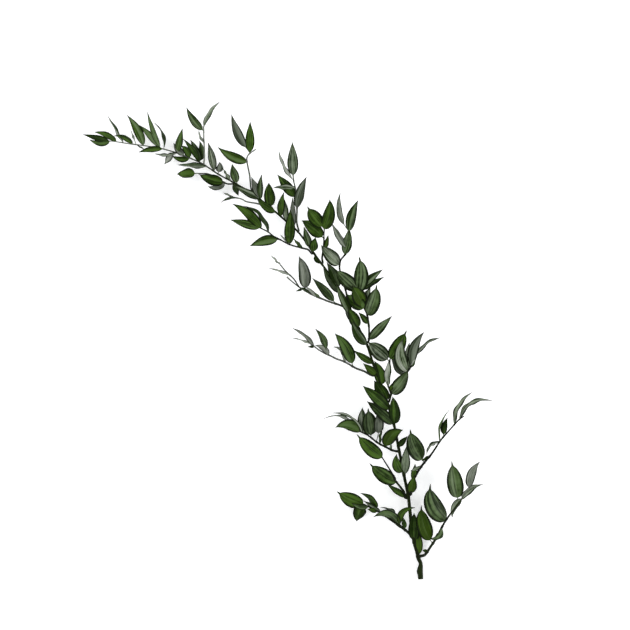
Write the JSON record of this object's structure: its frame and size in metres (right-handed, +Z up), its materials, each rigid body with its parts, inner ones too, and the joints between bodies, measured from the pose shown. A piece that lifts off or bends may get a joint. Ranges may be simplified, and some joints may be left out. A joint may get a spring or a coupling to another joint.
{
  "type": "dried ruscus stem",
  "caption": "Arching cut ruscus stem with thin side shoots of oval leaves with drawn-out tips, lying on a surface.",
  "frame": {"origin": "centre of the bounding box at the surface that the stem lies on", "axes": "+Z up from the surface, +Y from the cut end's side towards the tip's side, -X the way the stem arches"},
  "size_m": [0.5756, 0.6702, 0.0592],
  "materials": {
    "stem": "satin, dark green-brown bark",
    "leaves": "satin, dark green with fine lengthwise veins"
  },
  "bodies": {
    "root": {"main_stem": "stem", "right_shoot_1": "leaves", "right_shoot_2": "leaves", "right_shoot_3": "leaves", "right_shoot_4": "leaves", "right_shoot_5": "leaves", "right_shoot_6": "leaves", "right_shoot_7": "leaves", "right_shoot_8": "leaves", "right_shoot_9": "leaves", "left_shoot_1": "leaves", "left_shoot_2": "leaves", "left_shoot_3": "leaves", "left_shoot_4": "leaves", "left_shoot_5": "leaves", "left_shoot_6": "leaves", "left_shoot_7": "leaves", "left_shoot_8": "leaves"}
  },
  "joints": []
}
